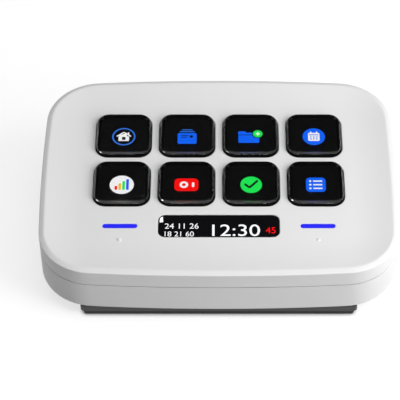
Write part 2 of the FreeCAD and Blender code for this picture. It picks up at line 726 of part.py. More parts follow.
def make_key_membrane():
    """Silicone sheet with a sprung dome under each key and a slot for each tail."""
    body = new_body("key_membrane")
    plan = new_sketch(body, "plan", BOARD_TOP, (0, "key_rise"))
    draw_rectangle(plan, GUIDE_WIDTH, GUIDE_LENGTH, "guide_radius")
    add_pad(body, plan, "membrane_thickness")
    hole = new_sketch(body, "hole", SHEET_TOP, FIRST_KEY)
    draw_circle(hole, "(dome_foot_radius - dome_wall)")
    key_grid(body, add_pocket(body, hole, "membrane_thickness"))
    rise = f"({DOME_TOP} - {SHEET_TOP})"
    profile = new_sketch(body, "profile", f"-({FIRST_KEY[1]})", (FIRST_KEY[0], SHEET_TOP),
                         role="XZ_Plane")
    draw_polygon(profile, (
        ("0", rise),
        ("0", f"{rise} - dome_wall - pill_gap - dome_wall"),
        ("pill_radius", f"{rise} - dome_wall - pill_gap - dome_wall"),
        ("pill_radius", f"{rise} - dome_wall"),
        ("dome_head_radius - dome_wall", f"{rise} - dome_wall"),
        ("dome_foot_radius - dome_wall", "-membrane_thickness / 2"),
        ("dome_foot_radius", "-membrane_thickness / 2"),
        ("dome_head_radius", rise),
    ))
    dome = body.newObject("PartDesign::Revolution", "key_membrane_dome")
    dome.Profile = profile
    dome.ReferenceAxis = (profile, ["V_Axis"])
    dome.Angle = 360
    doc.recompute()
    add_grid_flat(body, dome, hole)
    slot = new_sketch(body, "slot", SHEET_TOP,
                      (FIRST_KEY[0], f"{FIRST_KEY[1]} + tail_offset + tail_foot / 2"))
    draw_rectangle(slot, "(tail_width + 2 * tail_gap)",
                   "(tail_foot + tail_thickness + 2 * tail_gap)", "(tail_gap / 2)")
    key_grid(body, add_pocket(body, slot, "membrane_thickness"))


def add_grid_flat(body, feature, level_sketch):
    """Copies of an upright feature along the axes of a level sketch."""
    grid = body.newObject("PartDesign::LinearPattern", feature.Name + "_grid")
    grid.Originals = [feature]
    grid.Direction = (level_sketch, ["H_Axis"])
    grid.Direction2 = (level_sketch, ["V_Axis"])
    grid.Occurrences = 4
    grid.Occurrences2 = 2
    grid.setExpression("Length", linked("3 * key_pitch"))
    grid.setExpression("Length2", linked("key_pitch"))
    body.Tip = grid
    doc.recompute()


def make_screen_tails():
    """Thin flexible strips that join each key's screen to the board."""
    body = new_body("screen_tails")
    height = f"({SCREEN_BOTTOM} - {BOARD_TOP})"
    riser = new_sketch(body, "riser", BOARD_TOP, (FIRST_KEY[0], f"{FIRST_KEY[1]} + tail_offset"))
    draw_rectangle(riser, "tail_width", "tail_thickness", "(tail_thickness / 4)")
    key_grid(body, add_pad(body, riser, height))
    foot = new_sketch(body, "foot", BOARD_TOP,
                      (FIRST_KEY[0], f"{FIRST_KEY[1]} + tail_offset + tail_foot / 2"))
    draw_rectangle(foot, "tail_width", "tail_foot", "(tail_thickness / 4)")
    key_grid(body, add_pad(body, foot, "tail_thickness"))


def make_main_board():
    """Circuit board under the membrane, with a tongue that carries the port."""
    body = new_body("main_board")
    plan = new_sketch(body, "plan", "board_level", (0, "-board_shift"))
    draw_rectangle(plan, "board_width", "board_length", "board_radius")
    add_pad(body, plan, "board_thickness")
    rear = f"({BULKHEAD_BACK} - tongue_gap)"
    tongue = new_sketch(body, "tongue", "board_level", (0, f"{rear} / 2"))
    draw_rectangle(tongue, "tongue_width", rear, "tongue_radius")
    add_pad(body, tongue, "board_thickness")
    hole = new_sketch(body, "screw_hole", BOARD_TOP, SCREW_CORNER["board"])
    draw_circle(hole, SCREW_BORE)
    screw_grid(body, add_pocket(body, hole, "board_thickness"), "board")


def make_usb_socket():
    """Steel-shelled port under the board's tongue, its mouth flush with the recess face."""
    body = new_body("usb_socket")
    front = f"(-{RECESS_FACE} + port_length)"
    shell = new_sketch(body, "shell", front, (0, PORT_LEVEL), role="XZ_Plane")
    draw_slot(shell, "port_width", "port_height")
    pad = body.newObject("PartDesign::Pad", "usb_socket_pad")
    pad.Profile = shell
    pad.Reversed = True
    pad.setExpression("Length", linked("port_length"))
    doc.recompute()
    mouth = new_sketch(body, "mouth", f"(-{RECESS_FACE})", (0, PORT_LEVEL), role="XZ_Plane")
    draw_slot(mouth, "port_width - 2 * port_wall", "port_height - 2 * port_wall")
    add_pocket(body, mouth, "port_depth", upward=True)
    blade = new_sketch(body, "blade", front, (0, PORT_LEVEL), role="XZ_Plane")
    draw_rectangle(blade, "blade_width", "blade_thickness", "(blade_thickness / 4)")
    tongue = body.newObject("PartDesign::Pad", "usb_socket_blade_pad")
    tongue.Profile = blade
    tongue.Reversed = True
    tongue.setExpression("Length", linked("port_length - blade_back"))
    doc.recompute()


def make_board_parts():
    """Controller, memory and power parts on the board's underside."""
    chip = new_body("controller_chip")
    plan = new_sketch(chip, "plan", "board_level - chip_height")
    draw_rectangle(plan, "chip_size", "chip_size", "chip_radius")
    add_pad(chip, plan, "chip_height")
    parts = new_body("board_components")
    memory = new_sketch(parts, "memory", "board_level - chip_height", ("-part_spacing", 0))
    draw_rectangle(memory, "memory_width", "memory_length", "memory_radius")
    add_grid(parts, add_pad(parts, memory, "chip_height"), 1, "1", 2, "part_spacing")
    coil = new_sketch(parts, "coil", "board_level - coil_height", ("part_spacing", 0))
    draw_rectangle(coil, "coil_size", "coil_size", "coil_radius")
    add_grid(parts, add_pad(parts, coil, "coil_height"), 1, "1", 2, "part_spacing")


def make_info_display():
    """Information display: clear window, panel behind it, and its holder on the board."""
    place = (0, "-info_drop")
    window = new_body("info_window")
    glass = new_sketch(window, "glass", f"{PLATE_TOP} - info_lens_thickness", place)
    draw_rectangle(glass, "(info_width - 2 * info_lens_gap)", "(info_length - 2 * info_lens_gap)",
                   "(info_radius - info_lens_gap)")
    add_pad(window, glass, "info_lens_thickness")
    panel = new_body("info_display")
    plan = new_sketch(panel, "plan", f"{PLATE_BOTTOM} - info_panel_thickness", place)
    draw_rectangle(plan, "info_panel_width", "info_panel_length", "info_panel_radius")
    add_pad(panel, plan, "info_panel_thickness")
    holder = new_body("info_holder")
    frame = new_sketch(holder, "frame", BOARD_TOP, place)
    draw_rectangle(frame, "info_panel_width", "info_panel_length", "info_panel_radius")
    height = f"({PLATE_BOTTOM} - info_panel_thickness - {BOARD_TOP})"
    add_pad(holder, frame, height)
    hollow = new_sketch(holder, "hollow", BOARD_TOP, place)
    draw_rectangle(hollow, "(info_panel_width - 2 * info_holder_wall)",
                   "(info_panel_length - 2 * info_holder_wall)", "info_panel_radius")
    add_pocket(holder, hollow, height, upward=True)


def make_light(side, sign):
    """A light guide in the face and the touch electrode below it."""
    guide = new_body(f"light_guide_{side}")
    place = (f"{sign} * light_spread", "-info_drop")
    foot = f"({BOARD_TOP} + led_height + led_gap)"
    stem = new_sketch(guide, "stem", foot, place)
    draw_slot(stem, "light_width", "light_length")
    add_pad(guide, stem, f"{PLATE_TOP} - {foot}")
    collar = new_sketch(guide, "collar", f"{PLATE_BOTTOM} - light_collar_thickness", place)
    draw_slot(collar, "light_width + 2 * light_collar", "light_length + 2 * light_collar")
    add_pad(guide, collar, "light_collar_thickness")
    electrode = new_body(f"touch_electrode_{side}")
    disc = new_sketch(electrode, "disc", f"{PLATE_BOTTOM} - electrode_thickness",
                      (f"{sign} * light_spread", "-touch_drop"))
    draw_circle(disc, "electrode_radius")
    add_pad(electrode, disc, "electrode_thickness")


def make_light_electronics():
    """Two small lamps under each light guide and a spring contact under each electrode."""
    lamps = new_body("indicator_leds")
    for side, sign in (("left", -1), ("right", 1)):
        lamp = new_sketch(lamps, side, BOARD_TOP,
                          (f"{sign} * light_spread - led_spacing / 2", "-info_drop"))
        draw_rectangle(lamp, "led_width", "led_length", "led_radius")
        add_grid(lamps, add_pad(lamps, lamp, "led_height"), 2, "led_spacing", 1, "1")
    contacts = new_body("touch_contacts")
    pin = new_sketch(contacts, "pin", BOARD_TOP, ("-light_spread", "-touch_drop"))
    draw_circle(pin, "contact_radius")
    height = f"{PLATE_BOTTOM} - electrode_thickness - {BOARD_TOP}"
    add_grid(contacts, add_pad(contacts, pin, height), 2, "2 * light_spread", 1, "1")


def make_screws(group, seat, upward):
    """Four equal screws: a round head on its seat and a shank beyond it."""
    body = new_body(f"{group}_screws")
    head_level = f"({seat}) - head_height" if upward else seat
    head = new_sketch(body, "head", head_level, SCREW_CORNER[group])
    draw_circle(head, "head_radius")
    screw_grid(body, add_pad(body, head, "head_height"), group)
    shank_level = seat if upward else f"({seat}) - screw_bite"
    shank = new_sketch(body, "shank", shank_level, SCREW_CORNER[group])
    draw_circle(shank, "screw_radius")
    screw_grid(body, add_pad(body, shank, "screw_bite"), group)


make_top_cover()
make_lower_housing()
make_base_wedge()
make_rubber_pad()
make_ballast_plate()
for key_index in range(8):
    make_key(key_index)
make_key_guide()
make_key_membrane()
make_screen_tails()
make_main_board()
make_usb_socket()
make_board_parts()
make_info_display()
make_light("left", -1)
make_light("right", 1)
make_light_electronics()
make_screws("cover", "head_height + head_gap", True)
make_screws("base", "-base_top", True)
make_screws("board", BOARD_TOP, False)

doc.recompute()
for item in doc.Objects:
    if "Invalid" in item.State or "Error" in item.State:
        raise ValueError(f"{item.Label} has failed: {item.State}")
for body in subparts:
    if body.Shape.isNull() or not body.Shape.isValid():
        raise ValueError(f"{body.Label} has no valid shape")

os.makedirs("parts", exist_ok=True)
for body in subparts:
    body.Shape.exportStep(f"parts/{body.Label}.step")
    print(f"{body.Label}: {len(body.Shape.Solids)} solid, {body.Shape.Volume:.1f} mm3")
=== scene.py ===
import json
import math

import bmesh
import bpy
from mathutils import Matrix, Vector


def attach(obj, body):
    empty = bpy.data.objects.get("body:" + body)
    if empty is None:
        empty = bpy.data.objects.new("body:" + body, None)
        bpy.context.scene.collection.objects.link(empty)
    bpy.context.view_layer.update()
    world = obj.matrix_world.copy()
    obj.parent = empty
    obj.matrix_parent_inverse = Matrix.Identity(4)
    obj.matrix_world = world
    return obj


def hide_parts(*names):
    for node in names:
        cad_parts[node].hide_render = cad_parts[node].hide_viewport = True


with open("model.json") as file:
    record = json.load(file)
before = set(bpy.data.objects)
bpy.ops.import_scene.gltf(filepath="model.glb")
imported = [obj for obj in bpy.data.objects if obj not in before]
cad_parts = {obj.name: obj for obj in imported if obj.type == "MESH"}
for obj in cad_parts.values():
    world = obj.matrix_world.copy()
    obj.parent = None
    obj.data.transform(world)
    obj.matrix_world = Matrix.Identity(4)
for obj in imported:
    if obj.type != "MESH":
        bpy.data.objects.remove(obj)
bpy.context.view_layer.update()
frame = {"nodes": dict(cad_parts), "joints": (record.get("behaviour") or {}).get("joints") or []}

nodes = frame["nodes"]
perMetre = 1000  # shapes are drawn in millimetres
toMetres = Matrix.Scale(1 / perMetre, 4)
print("frame loaded:", len(nodes), "nodes")

# the leaning slab's own place: x to the right, y to the rear of the face, z out of the face
pressAxis = Vector(frame["joints"][0]["axis"])
lean = math.atan2(pressAxis.y, -pressAxis.z)
rise = min(corner.co.z - corner.co.y * math.tan(lean) for corner in nodes["lower_housing"].data.vertices)
slabPlace = Matrix.Translation((0, 0, rise)) @ Matrix.Rotation(lean, 4, "X")
deskPlace = Matrix.Identity(4)


def boxOf(spots):  # lowest and highest corner
    low = Vector([min(spot[side] for spot in spots) for side in range(3)])
    high = Vector([max(spot[side] for spot in spots) for side in range(3)])
    return low, high


def sizeOf(node, place=slabPlace):  # a node's box in millimetres, seen in that place
    inverse = (place @ toMetres).inverted()
    return boxOf([inverse @ corner.co for corner in nodes[node].data.vertices])


housingLow, housingHigh = sizeOf("lower_housing")
crest = sizeOf("top_cover")[1].z  # the top of the rim round the face


# ways of building a material

def addNode(tree, kind, settings, values):  # a value is a plain one, or the output that feeds the input
    node = tree.nodes.new("ShaderNode" + kind)
    for name, setting in settings.items():
        setattr(node, name, setting)
    for socket, value in values.items():
        if isinstance(value, bpy.types.NodeSocket):
            tree.links.new(value, node.inputs[socket])
        else:
            node.inputs[socket].default_value = value
    return node


def mathNode(tree, operation, *values):
    return addNode(tree, "Math", {"operation": operation}, dict(enumerate(values))).outputs["Value"]


def slowStep(tree, values):  # a soft change from one value to another
    return addNode(tree, "MapRange", {"interpolation_type": "SMOOTHSTEP"}, values).outputs["Result"]


def slabCoordinates(tree, stretch=(1, 1, 1)):  # the leaning slab's own axes
    place = addNode(tree, "TexCoord", {}, {}).outputs["Object"]
    turned = {"Vector": place, "Rotation": (-lean, 0, 0), "Scale": stretch}
    return addNode(tree, "Mapping", {}, turned).outputs["Vector"]


def twoTones(tree, factor, colour, dark, bright):
    tones = {"A": (*[part * dark for part in colour], 1),
             "B": (*[min(part * bright, 1) for part in colour], 1),
             "Factor": factor}
    return addNode(tree, "Mix", {"data_type": "RGBA"}, tones).outputs["Result"]


def startMaterial(name, values):
    finish = bpy.data.materials.new(name)
    finish.use_nodes = True
    shader = finish.node_tree.nodes["Principled BSDF"]
    for socket, value in values.items():
        shader.inputs[socket].default_value = value
    return finish, finish.node_tree, shader


# finishes

surface = {"broadScale": 70, "broadDetail": 3, "fineDetail": 2, "bump": 0.6, "coatRoughness": 0.08}


def newFinish(name, colour, roughness, metal=0.0, grain=0.15, depth=0.01, mottle=0.03, wear=0.06, coat=0.0,
              glow=0.0, glowColour=(1, 1, 1), clear=0.0, bend=1.5, specular=0.5, stretch=(1, 1, 1)):
    finish, tree, shader = startMaterial(name, {
        "Base Color": (*colour, 1), "Roughness": roughness, "Metallic": metal, "IOR": bend,
        "Specular IOR Level": specular, "Coat Weight": coat, "Coat Roughness": surface["coatRoughness"],
        "Transmission Weight": clear, "Emission Color": (*glowColour, 1), "Emission Strength": glow,
    })
    place = slabCoordinates(tree, stretch)
    if mottle:  # slow change of tone across a moulding
        broad = addNode(tree, "TexNoise", {}, {
            "Vector": place, "Scale": surface["broadScale"], "Detail": surface["broadDetail"]})
        tone = twoTones(tree, broad.outputs["Fac"], colour, 1 - mottle, 1 + mottle)
        tree.links.new(tone, shader.inputs["Base Color"])
    fine = addNode(tree, "TexNoise", {}, {  # the grain of the tool or the cast
        "Vector": place, "Scale": perMetre / grain, "Detail": surface["fineDetail"]})
    if wear:
        polish = addNode(tree, "MapRange", {}, {
            "Value": fine.outputs["Fac"], "To Min": max(roughness - wear, 0), "To Max": roughness + wear})
        tree.links.new(polish.outputs["Result"], shader.inputs["Roughness"])
    if depth:
        bump = addNode(tree, "Bump", {}, {
            "Height": fine.outputs["Fac"], "Strength": surface["bump"], "Distance": depth / perMetre})
        tree.links.new(bump.outputs["Normal"], shader.inputs["Normal"])
    return finish


finishes = {
    "cover_white": newFinish("coverWhite", (0.83, 0.83, 0.83), 0.42, grain=0.16, depth=0.006,
                             mottle=0.008),
    "housing_white": newFinish("housingWhite", (0.82, 0.82, 0.82), 0.44, grain=0.16, depth=0.007,
                               mottle=0.008),
    "base_black": newFinish("baseBlack", (0.035, 0.035, 0.037), 0.55, grain=0.3, depth=0.02, mottle=0.12),
    "pad_rubber": newFinish("padRubber", (0.02, 0.02, 0.021), 0.78, grain=0.4, depth=0.05, mottle=0.15),
    "ballast_steel": newFinish("ballastSteel", (0.36, 0.36, 0.37), 0.42, metal=1.0, stretch=(1, 12, 1)),
    "clear_plastic": newFinish("clearPlastic", (1.0, 1.0, 1.0), 0.0, clear=1.0, bend=1.52, depth=0,
                               mottle=0, wear=0),
    "screen_glass": newFinish("screenGlass", (0.004, 0.004, 0.005), 0.12, depth=0, mottle=0.2, wear=0.02),
    "inner_black": newFinish("innerBlack", (0.012, 0.012, 0.013), 0.5, grain=0.25, depth=0.01, mottle=0.1),
    "silicone": newFinish("silicone", (0.42, 0.43, 0.44), 0.5, grain=0.5, depth=0.01),
    "flex_film": newFinish("flexFilm", (0.42, 0.17, 0.03), 0.3, mottle=0.15, stretch=(1, 8, 1)),
    "circuit_board": newFinish("circuitBoard", (0.012, 0.09, 0.035), 0.38, grain=0.6, depth=0.02,
                               mottle=0.25, coat=0.4),
    "chip_black": newFinish("chipBlack", (0.018, 0.018, 0.02), 0.48, grain=0.12, mottle=0.15),
    "socket_steel": newFinish("socketSteel", (0.56, 0.56, 0.57), 0.24, metal=1.0, mottle=0.06,
                              stretch=(8, 1, 1)),
    "info_glass": newFinish("infoGlass", (0.004, 0.004, 0.005), 0.012, depth=0, mottle=0.2, wear=0),
    "light_blue": newFinish("lightBlue", (0.012, 0.012, 0.30), 0.45, grain=0.2, depth=0.004, glow=0.75,
                            glowColour=(0.012, 0.012, 0.86), specular=0.2),
    "copper": newFinish("copper", (0.75, 0.36, 0.2), 0.3, metal=1.0, mottle=0.08),
    "lamp_white": newFinish("lampWhite", (0.8, 0.78, 0.6), 0.4, mottle=0.05),
    "screw_steel": newFinish("screwSteel", (0.42, 0.41, 0.4), 0.3, metal=1.0, mottle=0.1,
                             stretch=(1, 1, 6)),
}

for nodeObject in nodes.values():
    for materialSlot in nodeObject.material_slots:
        materialSlot.material = finishes[materialSlot.material.name.split(".")[0]]
print("finishes ready:", len(finishes))


# ways of making a shape, all of it in millimetres

nearness = {"merge": 0.0004, "sameLevel": 0.0001}
softShare = 0.3  # how far the middle of a softened edge stands in, as a share of the edge
fullRound = 0.4995  # the largest corner, as a share of the shorter side


def newOnes(items, known):
    return [item for item in items if item not in known]


def bridge(bm, first, second):
    corners = list({corner for edge in second for corner in edge.verts})
    gap = abs(first[0].verts[0].co.z - corners[0].co.z)
    parted = Vector((0, 0, 1 if gap < nearness["sameLevel"] else 0))  # the operator twists loops of one plane
    bmesh.ops.translate(bm, verts=corners, vec=parted)
    bmesh.ops.bridge_loops(bm, edges=first + second)
    bmesh.ops.translate(bm, verts=corners, vec=-parted)


def bridgeAll(bm, loops):
    for first, second in zip(loops, loops[1:]):
        bridge(bm, first, second)


def loftedShell(bm, loops):  # a closed body over loops that were drawn in order
    bridgeAll(bm, loops)
    for end in (loops[0], loops[-1]):
        bmesh.ops.contextual_create(bm, geom=end)


def roundedPlate(bm, place, radius, steps):  # a flat plate, one unit square before its place stretches it
    corners = bmesh.ops.create_grid(bm, x_segments=1, y_segments=1, size=0.5, matrix=place)["verts"]
    bmesh.ops.bevel(bm, geom=corners, offset=radius, offset_type="OFFSET", affect="VERTICES",
                    segments=steps, profile=0.5, material=-1)


def roundedLoop(bm, x, y, width, length, radius, level, steps=8):
    known = set(bm.edges)
    place = Matrix.Translation((x, y, level)) @ Matrix.Diagonal((width, length, 1, 1))
    roundedPlate(bm, place, min(radius, min(width, length) * fullRound), steps)
    loop = newOnes(bm.edges, known)
    flat = list({face for edge in loop for face in edge.link_faces})
    bmesh.ops.delete(bm, geom=flat, context="FACES_ONLY")
    return loop


def roundedBody(bm, spot, width, length, radius, profile, steps=8, least=0.0):  # profile as (inset, level)
    loops = []
    for inset, level in profile:
        corner = max(radius - inset, least)
        loops.append(roundedLoop(bm, *spot, width - 2 * inset, length - 2 * inset, corner, level, steps))
    loftedShell(bm, loops)


def lowerRound(bend, low, step):  # quarter round from an underside to a side, as (inset, level)
    angles = [math.radians(turn) for turn in range(0, 91, step)]
    return [(bend * (1 - math.sin(angle)), low + bend * (1 - math.cos(angle))) for angle in angles]


def upperRound(bend, top, step, last=90):  # from a side towards a top
    angles = [math.radians(turn) for turn in range(0, last + 1, step)]
    return [(bend * (1 - math.cos(angle)), top - bend * (1 - math.sin(angle))) for angle in angles]


def softLowerEdge(edge, low):
    return [(edge, low), (edge * softShare, low + edge * softShare), (0, low + edge)]


def softUpperEdge(edge, top):
    return [(0, top - edge), (edge * softShare, top - edge * softShare), (edge, top)]


def closeShell(bm, place, merge=nearness["merge"]):
    bmesh.ops.remove_doubles(bm, verts=bm.verts, dist=merge)
    bmesh.ops.recalc_face_normals(bm, faces=bm.faces)
    bm.transform(place @ toMetres)


def smoothMesh(mesh, sharp=31):
    mesh.shade_smooth()
    mesh.set_sharp_from_angle(angle=math.radians(sharp))


def combine(piece, bm, operation):  # adds a body of the slab to a piece, or takes it away
    closeShell(bm, slabPlace)
    mesh = bpy.data.meshes.new("cutter")
    bm.to_mesh(mesh)
    bm.free()
    cutter = bpy.data.objects.new("cutter", mesh)
    bpy.context.scene.collection.objects.link(cutter)
    cut = piece.modifiers.new("cut", "BOOLEAN")
    cut.operation = operation
    cut.solver = "EXACT"
    cut.object = cutter
    bpy.context.view_layer.update()
    held = piece.data
    piece.data = bpy.data.meshes.new_from_object(piece.evaluated_get(bpy.context.evaluated_depsgraph_get()))
    piece.modifiers.clear()
    bpy.data.objects.remove(cutter)
    bpy.data.meshes.remove(mesh)
    piece.data.name = piece.name
    bpy.data.meshes.remove(held)


def makePiece(name, bm, slot, body="root", stands=(), place=slabPlace, sharp=31, merge=nearness["merge"],
              paints=()):
    closeShell(bm, place, merge)
    mesh = bpy.data.meshes.new(name)
    for paint in paints or [finishes[slot]]:
        mesh.materials.append(paint)
    bm.to_mesh(mesh)
    bm.free()
    smoothMesh(mesh, sharp)
    piece = bpy.data.objects.new(name, mesh)
    bpy.context.scene.collection.objects.link(piece)
    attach(piece, body)
    if stands:
        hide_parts(*stands)
    return piece


# the slab's bowed outline: four long bows and four tight corners, each tangent to the next

outline = {"frontBow": 650.0, "sideBow": 590.0, "corner": 16.2, "bowSteps": 28, "sideSteps": 20,
           "cornerSteps": 18}


def bowedLoop(bm, inset, level):
    known = set(bm.edges)
    bow, side, corner = outline["frontBow"], outline["sideBow"], outline["corner"]
    rearCentre, rightCentre = housingHigh.y - bow, housingHigh.x - side
    between = math.hypot(rightCentre, rearCentre)
    along = ((bow - corner) ** 2 - (side - corner) ** 2 + between ** 2) / (2 * between)
    aside = math.sqrt((bow - corner) ** 2 - along ** 2)
    cornerX = (along * rightCentre - aside * rearCentre) / between
    cornerY = rearCentre - (along * rearCentre + aside * rightCentre) / between
    rearTurn = math.atan2(cornerY - rearCentre, cornerX)
    sideTurn = math.atan2(cornerY, cornerX - rightCentre)
    cornerSweep = (rearTurn - sideTurn, outline["cornerSteps"])
    sideSweep = (2 * sideTurn, outline["sideSteps"])
    bowSweep = (math.pi - 2 * rearTurn, outline["bowSteps"])
    sweeps = (
        ((rightCentre, 0), sideSweep), ((cornerX, cornerY), cornerSweep),
        ((0, rearCentre), bowSweep), ((-cornerX, cornerY), cornerSweep),
        ((-rightCentre, 0), sideSweep), ((-cornerX, -cornerY), cornerSweep),
        ((0, -rearCentre), bowSweep), ((cornerX, -cornerY), cornerSweep),
    )
    radius = side - inset
    first = bm.verts.new((rightCentre + radius * math.cos(sideTurn), -radius * math.sin(sideTurn), level))
    tip = first
    for centre, (turn, steps) in sweeps:
        spun = bmesh.ops.spin(bm, geom=[tip], cent=(*centre, level), axis=(0, 0, 1), angle=turn, steps=steps)
        tip = [item for item in spun["geom_last"] if isinstance(item, bmesh.types.BMVert)][0]
    bmesh.ops.weld_verts(bm, targetmap={tip: first})
    return newOnes(bm.edges, known)


# camera and light come first; angles in degrees, the lens and sensor in millimetres, the rest in metres

view = {"toFace": 49.8, "distance": 0.568, "lens": 171.5, "sensor": 36, "shiftX": -0.047,
        "aimY": -10.69 / perMetre, "clip": 0.01}


def makeCamera():
    camera = bpy.data.objects.new("camera", bpy.data.cameras.new("camera"))
    bpy.context.scene.collection.objects.link(camera)
    bpy.context.scene.camera = camera
    camera.data.lens = view["lens"]
    camera.data.sensor_width = view["sensor"]
    camera.data.shift_x = view["shiftX"]
    camera.data.clip_start = view["clip"]
    high = math.radians(view["toFace"]) - lean
    target = slabPlace @ Vector((0, view["aimY"], crest / perMetre))
    camera.location = target + view["distance"] * Vector((0, -math.cos(high), math.sin(high)))
    camera.rotation_euler = (math.pi / 2 - high, 0, 0)


# lamps that are not lit only show in gloss; those without gloss only light
lamps = {
    "topLamp": {"at": (0.0, 0.0, 0.50), "size": (0.50, 0.50), "power": 1.02, "gloss": False},
    "frontLamp": {"at": (0.36, -0.28, 0.20), "size": (0.20, 0.20), "power": 0.93, "gloss": False},
    "rightLamp": {"at": (0.33, -0.10, 0.30), "size": (0.30, 0.30), "power": 1.1, "gloss": False},
    "cornerLamp": {"at": (-0.38, -0.14, 0.09), "size": (0.12, 0.16), "power": 1.3, "lit": False},
    "streakLamp": {"at": (0.0, -0.45, 0.09), "size": (0.26, 0.10), "power": 0.32, "lit": False},
    "glareLamp": {"at": (-0.0292, 0.2135, 0.3471), "size": (0.0018, 0.0028), "power": 0.0005, "lit": False},
}
lampAim = Vector((0, 0, 0.015))


def makeLamps():
    for name, values in lamps.items():
        light = bpy.data.lights.new(name, "AREA")
        light.shape = "RECTANGLE"
        light.size, light.size_y = values["size"]
        light.energy = values["power"]
        lamp = bpy.data.objects.new(name, light)
        bpy.context.scene.collection.objects.link(lamp)
        lamp.location = values["at"]
        lamp.visible_glossy = values.get("gloss", True)
        lamp.visible_transmission = values.get("gloss", True)
        lamp.visible_diffuse = values.get("lit", True)
        lamp.rotation_euler = (lampAim - lamp.location).to_track_quat("-Z", "Y").to_euler()


room = {"ambient": 0.125, "dark": 0.03, "pale": 1.0, "frontFrom": -0.50, "frontTo": -0.05,
        "side": 2.2, "sideFrom": 0.45, "sideTo": 0.75, "sideLow": 0.1, "sideHigh": 0.4}


def makeWorld():
    world = bpy.data.worlds.new("room")
    bpy.context.scene.world = world
    world.use_nodes = True
    tree = world.node_tree
    place = addNode(tree, "TexCoord", {}, {}).outputs["Generated"]
    parts = addNode(tree, "SeparateXYZ", {}, {"Vector": place}).outputs
    front = slowStep(tree, {  # gloss shows a pale room in front and a dark one behind
        "Value": parts["Y"], "From Min": room["frontFrom"], "From Max": room["frontTo"],
        "To Min": room["pale"], "To Max": room["dark"]})
    sides = slowStep(tree, {  # and low pale walls at both sides
        "Value": mathNode(tree, "ABSOLUTE", parts["X"]),
        "From Min": room["sideFrom"], "From Max": room["sideTo"]})
    low = slowStep(tree, {
        "Value": parts["Z"], "From Min": room["sideLow"], "From Max": room["sideHigh"],
        "To Min": room["side"], "To Max": 0.0})
    walls = mathNode(tree, "MAXIMUM", front, mathNode(tree, "MULTIPLY", sides, low))
    rays = addNode(tree, "LightPath", {}, {}).outputs
    mirrored = mathNode(tree, "MAXIMUM", rays["Is Glossy Ray"], rays["Is Transmission Ray"])
    strength = addNode(tree, "Mix", {}, {"Factor": mirrored, "A": room["ambient"], "B": walls})
    behind = addNode(tree, "Mix", {}, {
        "Factor": rays["Is Camera Ray"], "A": strength.outputs["Result"], "B": 1.0})
    background = tree.nodes["Background"]
    background.inputs["Color"].default_value = (1, 1, 1, 1)
    tree.links.new(behind.outputs["Result"], background.inputs["Strength"])


floorValues = {"width": 6.0, "squares": 4, "drop": 0.00005, "tone": 0.46, "roughness": 0.9, "lift": 0.69,
               "contact": 0.0013, "contactPower": 1.6, "samples": 8}


def makeFloorWhite():  # the camera sees a lifted floor, and the lift fades where the base touches it: a painted contact shadow
    finish, tree, shader = startMaterial("floorWhite", {
        "Base Color": (*[floorValues["tone"]] * 3, 1), "Roughness": floorValues["roughness"],
        "Specular IOR Level": 0.0, "Emission Color": (1, 1, 1, 1),
    })
    rays = addNode(tree, "LightPath", {}, {}).outputs
    shown = mathNode(tree, "ADD", rays["Is Camera Ray"], rays["Is Glossy Ray"])
    seen = mathNode(tree, "ADD", shown, rays["Is Transmission Ray"])
    # painted contact shadow: ambient occlusion darkens the floor's lift close to the base
    paintedShadowFactor = addNode(tree, "AmbientOcclusion", {"samples": floorValues["samples"]},
                     {"Distance": floorValues["contact"]}).outputs["AO"]
    paintedShadowFade = mathNode(tree, "POWER", paintedShadowFactor, floorValues["contactPower"])
    lift = mathNode(tree, "MULTIPLY", seen, mathNode(tree, "MULTIPLY", paintedShadowFade, floorValues["lift"]))
    tree.links.new(lift, shader.inputs["Emission Strength"])
    return finish


def makeFloor():
    bm = bmesh.new()
    squares = floorValues["squares"]
    bmesh.ops.create_grid(bm, x_segments=squares, y_segments=squares, size=floorValues["width"] / 2)
    bmesh.ops.translate(bm, verts=bm.verts, vec=(0, 0, -floorValues["drop"]))
    mesh = bpy.data.meshes.new("floor")
    bm.to_mesh(mesh)
    bm.free()
    mesh.materials.append(makeFloorWhite())
    floor = bpy.data.objects.new("floor", mesh)
    bpy.context.scene.collection.objects.link(floor)


bpy.context.scene.view_settings.view_transform = "Standard"
makeCamera()
makeLamps()
makeWorld()
makeFloor()
print("camera, lamps, room and floor ready")


# top cover

seam = {"level": 10.3, "gap": 0.3}
cover = {
    "wall": 2.0, "edge": 0.04, "support": 0.12, "plate": 2.0,
    "rimDrop": 0.46, "rimRound": 0.28, "rimWidth": 1.6, "rimSteps": 6, "rimPower": 1.35,
    "dishDepth": 1.2, "dishReach": 12.5, "dishSteps": 12, "dishSpread": 1.25, "dishPower": 1.8, "flat": 0.3,
    "windowRound": 0.16, "windowBorder": 0.45,
    "windowCurve": ((1, 0), (0.5, 0.13), (0.13, 0.5), (0, 1)),  # growth and depth, as shares of the round
}
dishFloor = crest - cover["dishDepth"]
windows = {"size": 17.3, "radius": 4.0, "pitch": 19.45, "rise": 6.2, "columns": 4, "rows": 2}
infoPlace = {"y": -19.65, "width": 36.0, "length": 8.6, "radius": 2.2}
barPlace = {"x": 29.3, "y": -19.65, "width": 10.2, "length": 1.5, "gap": 0.08}


def keyCentres():  # number, x and y of each key, from the rear left one
    columns, rows = windows["columns"], windows["rows"]
    for index in range(columns * rows):
        row, column = divmod(index, columns)
        x = (column - (columns - 1) / 2) * windows["pitch"]
        y = windows["rise"] + ((rows - 1) / 2 - row) * windows["pitch"]
        yield index + 1, x, y


def coverWindows():
    for number, x, y in keyCentres():
        yield x, y, windows["size"], windows["size"], windows["radius"]
    yield 0, infoPlace["y"], infoPlace["width"], infoPlace["length"], infoPlace["radius"]
    gap = barPlace["gap"]
    width, length = barPlace["width"] + 2 * gap, barPlace["length"] + 2 * gap
    for x in (-barPlace["x"], barPlace["x"]):
        yield x, barPlace["y"], width, length, barPlace["length"] / 2 + gap


